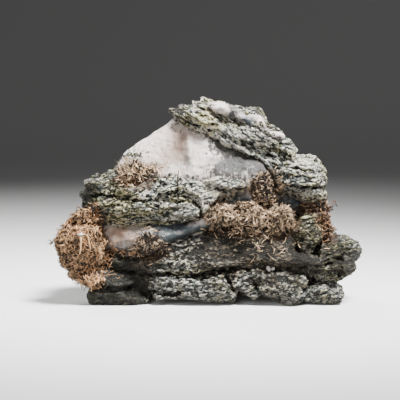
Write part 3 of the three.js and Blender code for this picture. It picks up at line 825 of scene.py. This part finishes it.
class SPECIMEN_OT_calcite(bpy.types.Operator):
    """Cleave the calcite and heal it into a smooth translucent mass"""

    bl_idname = "specimen.calcite"
    bl_label = "Calcite"
    bl_options = {"REGISTER", "UNDO"}

    def execute(self, context):
        spar = context.scene.calcite
        material = calcite_material("Massive calcite", spar)
        rocks = [search_tree(name) for name in ROCKS]
        for name, (node, wave, chip, worn) in SPARS.items():
            piece = copy_of(node, name)
            even_faces(piece, spar.face)
            cleft = piece.modifiers.new("Cleft", "DECIMATE")
            cleft.ratio = 0.004
            even_faces(piece, spar.face)
            healed = piece.modifiers.new("Healed", "SMOOTH")
            healed.factor = 0.5
            healed.iterations = 14
            waved = cleft_tree(f"Waved {name}", spar, wave, chip, worn, neighbours_of(node))
            piece.modifiers.new("Waved", "NODES").node_group = waved
            apply_modifiers(piece)
            if node == "calcite_vein":
                ridged(piece)
            else:
                settled(piece, SETTLED[name])
            tint_spar(piece, rocks)
            bpy.ops.object.shade_smooth()
            place(piece, "calcite", material, node)
        return {"FINISHED"}


# ---- Silver ----

# Each tuft of wires: its node, the number of its wires, how much of its surface they cover, how deep its
# core and then its roots lie in millimetres, the seed of its growth and its patina.
TUFTS = {
    "wires_left": ("silver_moss_left", 6600, 1.0, 0.9, 1.1, 11, "tan"),
    "wires_upper": ("silver_moss_upper", 120, 0.5, 1.8, 1.8, 12, "rose"),
    "wires_centre": ("silver_moss_centre", 5800, 0.8, 1.3, 1.15, 13, "rose"),
    "wires_lower": ("silver_moss_lower", 420, 0.55, 1.7, 1.6, 14, "rose"),
    "wires_right": ("silver_moss_right", 3000, 0.85, 1.7, 2.2, 15, "rust"),
}

# Thin wires that stray over the rock beside a tuft: x, z, half width, half height and number.
STRAYS = {
    "wires_left": ((-30, 13, 2.4, 5.5, 110), (-23, 15.0, 6, 1.4, 50), (-34.5, 6.6, 3.6, 1.8, 260)),
    "wires_centre": ((10, 21.0, 13, 1.6, 90), (15, 17.0, 9, 3, 40), (18.5, 33.5, 4.4, 3.4, 150)),
    "wires_upper": ((-22.6, 37.4, 3.6, 3.0, 260), (-18.0, 38.8, 4.0, 0.9, 80), (-25.2, 36.4, 1.0, 1.6, 24)),
    "wires_lower": ((-17.6, 17.6, 3.0, 3.2, 220),),
    "wires_right": ((32.8, 21, 1.2, 6, 40),),
}

# The height in millimetres above which a tuft's wires are old, and how much darker those are.
OLD_OVER = {"wires_centre": 29.0, "wires_lower": 0.0}
OLD_SHADE = 0.32

# Bold wires, one by one: x and z of the root, heading in x and z, length, turn and radius.
BOLD = {
    "wires_left": ((-36.6, 20.4, 0.1, -1.0, 5.4, 0.5, 0.36), (-34.8, 20.6, 0.35, -1.0, 4.6, 0.4, 0.3)),
    "wires_upper": ((-9.1, 34.0, 0.06, 1.0, 4.9, 0.12, 0.3),),
}

# How bright the bold wires and the cores are, where 0 is dark and 1 is bright. The cores are dark as
# painted shade behind the wires.
BOLD_TONES = {"wires_left": 0.9, "wires_upper": -0.1}
CORE_TONE = -0.6


def unit(vectors):
    """Vectors scaled to length one."""
    return vectors / np.linalg.norm(vectors, axis=-1, keepdims=True)


def square_to(vectors, others):
    """Vectors of length one at right angles to others, each as near as it can be to its own vector."""
    return unit(vectors - others * np.sum(vectors * others, axis=1, keepdims=True))


def turned(vectors, axes, angles):
    """Vectors turned about axes at right angles to them."""
    return vectors * np.cos(angles)[:, None] + np.cross(axes, vectors) * np.sin(angles)[:, None]


def surface_points(node, count, rng):
    """Random places spread evenly over a CAD node's surface, with their outward normals."""
    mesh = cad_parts[node].data
    mesh.calc_loop_triangles()
    corners = np.array([[mesh.vertices[i].co for i in face.vertices] for face in mesh.loop_triangles])
    crosses = np.cross(corners[:, 1] - corners[:, 0], corners[:, 2] - corners[:, 0])
    areas = np.linalg.norm(crosses, axis=1)
    chosen = rng.choice(len(corners), size=count, p=areas / areas.sum())
    shares = np.sort(rng.random((count, 2)), axis=1)
    weights = np.stack([shares[:, 0], shares[:, 1] - shares[:, 0], 1 - shares[:, 1]], axis=1)
    return np.einsum("ij,ijk->ik", weights, corners[chosen]), unit(crosses[chosen])


def grown(silver, roots, headings, axes, lengths, turns, radii, rng):
    """Closed tubes along curling lines. Each wire leaves its root along its heading, bends about its axis by
    its turn as it grows, and thins towards its tip."""
    count, rings, sides = len(roots), silver.rings, silver.sides
    around = np.arange(sides) * 2 * math.pi / sides
    axes = square_to(axes, headings)
    places, wires = roots, []
    for ring in range(rings):
        share = ring / (rings - 1)
        across = np.cross(headings, axes)
        thick = (radii * (1 - 0.45 * share * share))[:, None]
        ways = [axes * math.cos(angle) + across * math.sin(angle) for angle in around]
        wires.append(np.stack([places + thick * way for way in ways], axis=1))
        places = places + headings * (lengths / (rings - 1))[:, None]
        headings = turned(headings, axes, turns / (rings - 1) * (0.5 + share))
        axes = square_to(turned(axes, headings, rng.normal(0.0, 0.3, count)), headings)
    vertices = np.stack(wires, axis=1).reshape(-1, 3)
    side = np.arange(sides)
    after = (side + 1) % sides
    faces = []
    for wire in range(count):
        start = wire * rings * sides
        for ring in range(rings - 1):
            low = start + ring * sides
            faces += np.stack([low + side, low + after, low + sides + after, low + sides + side], 1).tolist()
        faces += [(start + side[::-1]).tolist(), (start + (rings - 1) * sides + side).tolist()]
    return vertices, faces


def tuft_wires(silver, node, count, cover, root, rng):
    """Wires that leave a tuft's surface and arch back into it. Their tone is painted lighter where they stand
    out and darker where they lie deep, as painted light and shade.
    """
    roots, normals = surface_points(node, 2 * count, rng)
    density = np.array([noise.noise(Vector(root / (3.2 * MM))) for root in roots])
    density += np.clip(normals[:, 2], -1, 0)
    kept = np.argsort(-density)[: int(2 * count * cover)]
    kept = rng.permutation(kept)[:count]
    roots, normals = roots[kept], normals[kept]
    count = len(roots)
    depths = root + rng.uniform(-0.55, 0.55, count)
    ways = unit(rng.normal(size=(count, 3)))
    along = square_to(ways, normals)
    headings = unit(along + normals * rng.uniform(0.2, 1.2, (count, 1)))
    axes = np.cross(headings, -normals) + 0.5 * ways
    lengths = silver.length * rng.uniform(0.6, 1.3, count)
    turns = rng.uniform(1.2, 3.8, count)
    radii = silver.radius * rng.uniform(0.7, 1.3, count)
    starts = roots - normals * depths[:, None] * MM
    wires, faces = grown(silver, starts, headings, axes, lengths, turns, radii, rng)
    corners = silver.rings * silver.sides
    rise = np.sum((wires - np.repeat(roots, corners, 0)) * np.repeat(normals, corners, 0), axis=1) / MM
    # Painted light and shade: a wire grows lighter where it stands out from the tuft and darker where it lies
    # deep.
    tones = np.repeat(rng.uniform(-0.1, 0.8, count), corners) + 0.35 * np.clip(rise, -1.2, 0.6)
    return wires, faces, tones


def stray_wires(silver, regions, trees, rng):
    """Thin dull wires that creep over whatever lies beside a tuft."""
    roots, normals = (np.array(vectors) for vectors in zip(*scattered(trees, regions, 0.55, rng)))
    count = len(roots)
    ways = unit(rng.normal(size=(count, 3)))
    headings = unit(square_to(ways, normals) + 0.25 * normals)
    lengths = silver.length * rng.uniform(0.5, 1.5, count)
    turns = rng.normal(0.0, 1.4, count)
    radii = silver.radius * rng.uniform(0.55, 1.0, count)
    axes = normals + 0.3 * ways
    wires, faces = grown(silver, roots, headings, axes, lengths, turns, radii, rng)
    return wires, faces, np.repeat(rng.uniform(-0.3, 1.1, count), silver.rings * silver.sides)


def bold_wires(silver, rows, trees, rng):
    """Single thick wires that are seen one by one."""
    hits = [landed(trees, x * MM, z * MM)[0] for x, z, *_ in rows]
    roots = np.array([hit - 0.2 * MM * FRONT for hit in hits])
    headings = unit(np.array([(way_x, -0.3, way_z) for _, _, way_x, way_z, *_ in rows]))
    lengths, turns, radii = np.array([row[4:] for row in rows]).T
    axes = np.tile(np.array(FRONT), (len(rows), 1))
    return grown(silver, roots, headings, axes, lengths * MM, turns, radii * MM, rng)


def core_of(node, depth):
    """The inside of a tuft, which is coloured dark as painted shade behind the wires: its node's surface
    moved in.
    """
    core = copy_of(node, "core")
    even_faces(core, 0.9 * MM)
    shrink = core.modifiers.new("Shrink", "DISPLACE")
    shrink.strength = -depth
    shrink.mid_level = 0.0
    apply_modifiers(core)
    parts = places_of(core), [list(face.vertices) for face in core.data.polygons]
    bpy.data.objects.remove(core)
    return parts


def silver_material(name, patina, silver):
    """Native silver wire under a coppery tarnish, with every wire a tone of its own. Its colour is painted
    bright along the outer turns and brown in the gaps and the core, as painted light and shade."""
    material, tree, surface, here = new_material(name)
    tone = add(tree, "ShaderNodeAttribute", attribute_name="tone").outputs["Fac"]
    tarnish = add(tree, "ShaderNodeTexNoise", {"Vector": here, "Scale": 1 / 0.9, "Detail": 2.0})
    mottled = add(tree, "ShaderNodeMath", [tarnish, 0.8, tone], operation="MULTIPLY_ADD")
    share = add(tree, "ShaderNodeMapRange", [mottled, 0.25, 1.1, 0.0, 1.0])
    body = coated(tree, silver.shade, (share, patina))
    surface.inputs["Metallic"].default_value = 0.3
    surface.inputs["Roughness"].default_value = 0.36
    scratches = add(tree, "ShaderNodeTexNoise", {"Vector": here, "Scale": 1 / 0.25, "Detail": 1.0})
    finish(tree, surface, body, scratches, 0.4, 0.05 * MM)
    return material


class SPECIMEN_OT_silver(bpy.types.Operator):
    """Grow the silver as tufts of curled wires"""

    bl_idname = "specimen.silver"
    bl_label = "Silver"
    bl_options = {"REGISTER", "UNDO"}

    def execute(self, context):
        silver = context.scene.silver
        trees = [search_tree(name) for name in (*ROCKS, "spar_vein")]
        for name, (node, count, cover, depth, root, seed, patina) in TUFTS.items():
            rng = np.random.default_rng(seed)
            wires, faces, tones = tuft_wires(silver, node, count, cover, root, rng)
            tones -= OLD_SHADE * np.clip(wires[:, 2] / MM - OLD_OVER.get(name, math.inf), 0, 1)
            core = core_of(node, depth * MM)
            # The core is painted dark, as the shade behind the wires.
            parts, shades = [(wires, faces), core], [tones, np.full(len(core[0]), CORE_TONE)]
            if name in STRAYS:
                below = [*trees, BVHTree.FromPolygons(*core)]
                wires, faces, tones = stray_wires(silver, STRAYS[name], below, rng)
                parts.append((wires, faces))
                shades.append(tones)
            if name in BOLD:
                own = [search_tree(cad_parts[node]), *trees]
                parts.append(bold_wires(silver, BOLD[name], own, rng))
                shades.append(np.full(len(parts[-1][0]), BOLD_TONES[name]))
            piece = mesh_piece(name, parts)
            paint(piece, "tone", np.concatenate(shades))
            material = silver_material(f"Native silver, {name}", getattr(silver, patina), silver)
            place(piece, "wire_silver", material, node)
        return {"FINISHED"}


# ---- Crumbs ----

# Crumbs of schist on the calcite: how far from the schist they lie on each node, in millimetres, and where
# they lie on the front of the vein, as x, z, half width, half height and number.
CRUMB_REACH = {"calcite_vein": 1.3, "calcite_cap_seam": 2.4}
CRUMB_TRIES = 900  # places tried on each node
CRUMBS = ((-24.5, 38.5, 4.5, 4.5, 60), (-22, 42, 3, 1.2, 24))

# Single grains of calcite on the schist and the silver: x, z and radius in millimetres.
GRAINS = ((17.2, 10.2, 1.1), (18.3, 10.4, 0.8), (-36.6, 20.6, 0.8))

FAR = 9.0  # in millimetres, too far from another mineral to be stained by it


def ball():
    """A small faceted ball: its vertices and faces."""
    bpy.ops.mesh.primitive_ico_sphere_add(subdivisions=2, radius=1.0)
    made = bpy.context.object
    vertices = places_of(made)
    faces = [list(face.vertices) for face in made.data.polygons]
    bpy.data.objects.remove(made)
    return vertices, faces


def crumb_parts(spots, rng):
    """A broken crumb at each spot, which is a place and a radius, both in metres."""
    vertices, faces = ball()
    parts = []
    for spot, radius in spots:
        axes, _ = np.linalg.qr(rng.normal(size=(3, 3)))
        rough = 1 + 0.16 * rng.normal(size=(len(vertices), 1))
        shape = vertices * rough * rng.uniform(0.55, 1.15, 3)
        parts.append((np.array(spot) + radius * shape @ axes.T, faces))
    return parts


class SPECIMEN_OT_crumbs(bpy.types.Operator):
    """Scatter crumbs of schist along the calcite's edges, and single grains of calcite"""

    bl_idname = "specimen.crumbs"
    bl_label = "Crumbs"
    bl_options = {"REGISTER", "UNDO"}

    def execute(self, context):
        rock, spar = context.scene.schist, context.scene.calcite
        rng = np.random.default_rng(21)
        rocks = [search_tree(name) for name in ROCKS]
        spots = []
        for node, reach in CRUMB_REACH.items():
            for spot in surface_points(node, CRUMB_TRIES, rng)[0]:
                if nearest_in(rocks, spot) < reach * rng.random():
                    spots.append((spot, rng.uniform(0.25, 0.75) * MM))
        for spot, _ in scattered([search_tree("spar_vein")], CRUMBS, 0.5, rng):
            spots.append((spot, rng.uniform(0.2, 0.55) * MM))
        piece = mesh_piece("rock_crumbs", crumb_parts(spots, rng))
        tint(piece)
        for mineral in ("from_calcite", "from_silver"):
            paint(piece, mineral, np.full(len(piece.data.vertices), FAR))
        material = schist_material("Mica schist, crumbs", rock, dip=0.0, bend=0.0, greenness=0.1)
        place(piece, "schist", material)
        whole = [*rocks, search_tree(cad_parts["silver_moss_left"])]
        grains = [(landed(whole, x * MM, z * MM)[0], radius * MM) for x, z, radius in GRAINS]
        piece = mesh_piece("spar_grains", crumb_parts(grains, rng))
        place(piece, "calcite", calcite_material("Calcite grains", spar))
        return {"FINISHED"}


# ---- Stage ----

# What the camera and the lights point at: a place near the middle of the specimen.
TARGET = Vector((-2.63, 0.0, 28.7)) * MM

# The sheet of paper, in metres: its width and depth, how far its middle lies in front of the specimen's, and
# how high its end stands behind.
PAPER_SIZE = 5.0
PAPER_AHEAD = 0.5
PAPER_HEIGHT = 3.0

# The soft lights: place in metres, width, spread in degrees, which a grid over them narrows, and power.
LIGHTS = {
    "Key": ((0.19, -0.13, 0.52), 0.2, 44, 1.1),
    "Fill": ((-0.2, -0.58, 0.14), 0.4, 80, 0.72),
    "Back": ((-0.2, 0.5, 0.5), 0.4, 40, 0.5),
}


def paper_material(name, paper):
    """Plain matt background paper."""
    material, _, surface, _ = new_material(name)
    surface.inputs["Base Color"].default_value = paper
    surface.inputs["Roughness"].default_value = 1.0
    surface.inputs["Specular IOR Level"].default_value = 0.0
    return material


def swept_paper(sweep):
    """A sheet of paper that lies under the specimen and curves up behind it."""
    bpy.ops.mesh.primitive_plane_add(size=PAPER_SIZE, location=(0.0, -PAPER_AHEAD, FLOOR_LEVEL))
    paper = bpy.context.object
    paper.name = "paper"
    bpy.ops.object.transform_apply(location=True)
    bpy.ops.object.mode_set(mode="EDIT")
    bpy.ops.mesh.select_mode(type="EDGE")
    bpy.ops.mesh.select_all(action="DESELECT")
    bpy.ops.object.mode_set(mode="OBJECT")
    for edge in paper.data.edges:
        edge.select = all(paper.data.vertices[i].co.y > 0 for i in edge.vertices)
    bpy.ops.object.mode_set(mode="EDIT")
    bpy.ops.mesh.extrude_region_move(TRANSFORM_OT_translate={"value": (0.0, 0.0, PAPER_HEIGHT)})
    bpy.ops.object.mode_set(mode="OBJECT")
    curve = paper.modifiers.new("Sweep", "BEVEL")
    curve.width = sweep
    curve.segments = 24
    apply_modifiers(paper)
    bpy.ops.object.shade_smooth()
    return paper


class SPECIMEN_OT_stage(bpy.types.Operator):
    """Set the paper, the lights and the camera"""

    bl_idname = "specimen.stage"
    bl_label = "Stage"
    bl_options = {"REGISTER", "UNDO"}

    def execute(self, context):
        stage = context.scene.stage
        back = Vector((0.0, -math.cos(stage.elevation), math.sin(stage.elevation)))
        turn = (math.pi / 2 - stage.elevation, 0.0, 0.0)
        bpy.ops.object.camera_add(location=TARGET + stage.distance * back, rotation=turn)
        camera = context.object
        camera.data.lens = camera.data.sensor_width * stage.distance / stage.seen_width
        camera.data.clip_start = 10 * MM
        context.scene.camera = camera

        paper = swept_paper(stage.sweep)
        paper.data.materials.append(paper_material("Plain background paper", stage.paper))
        paper.visible_diffuse = False  # it throws no light up at the specimen's foot
        paper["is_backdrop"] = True

        world = bpy.data.worlds.new("Studio")
        world.use_nodes = True
        sky = world.node_tree.nodes["Background"]
        sky.inputs["Color"].default_value = (1.0, 1.0, 1.0, 1.0)
        sky.inputs["Strength"].default_value = stage.glow
        context.scene.world = world

        for name, (spot, width, spread, power) in LIGHTS.items():
            aim = (TARGET - Vector(spot)).to_track_quat("-Z", "Y").to_euler()
            bpy.ops.object.light_add(type="AREA", location=spot, rotation=aim)
            lamp = context.object
            lamp.name = name
            lamp.visible_camera = False
            lamp.data.size = width
            lamp.data.spread = math.radians(spread)
            lamp.data.energy = power
        return {"FINISHED"}


class SPECIMEN_PT_panel(bpy.types.Panel):
    """Lists the steps that build the specimen."""

    bl_idname = "SPECIMEN_PT_panel"
    bl_label = "Specimen"
    bl_space_type = "VIEW_3D"
    bl_region_type = "UI"
    bl_category = "Specimen"

    def draw(self, context):
        for operator in OPERATORS:
            self.layout.operator(operator.bl_idname)


OPERATORS = (
    SPECIMEN_OT_schist,
    SPECIMEN_OT_calcite,
    SPECIMEN_OT_silver,
    SPECIMEN_OT_crumbs,
    SPECIMEN_OT_stage,
)
SETTINGS = {
    "schist": SchistSettings,
    "calcite": CalciteSettings,
    "silver": SilverSettings,
    "stage": StageSettings,
}


def register():
    """Registers the classes, and gives the scene their settings."""
    for group in (*SETTINGS.values(), *OPERATORS, SPECIMEN_PT_panel):
        bpy.utils.register_class(group)
    for name, group in SETTINGS.items():
        setattr(bpy.types.Scene, name, PointerProperty(type=group))


def unregister():
    """Takes the settings and the classes away."""
    for name in SETTINGS:
        delattr(bpy.types.Scene, name)
    for group in (SPECIMEN_PT_panel, *reversed(OPERATORS), *reversed(SETTINGS.values())):
        bpy.utils.unregister_class(group)


def main():
    """Builds the specimen and its stage."""
    register()
    bpy.ops.specimen.schist()
    bpy.ops.specimen.calcite()
    bpy.ops.specimen.silver()
    bpy.ops.specimen.crumbs()
    bpy.ops.specimen.stage()
    boxes = {"cad": cad_bounds, "visual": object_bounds()}
    {name: [list(corner) for corner in box] for name, box in boxes.items()}


if __name__ == "__main__":
    main()
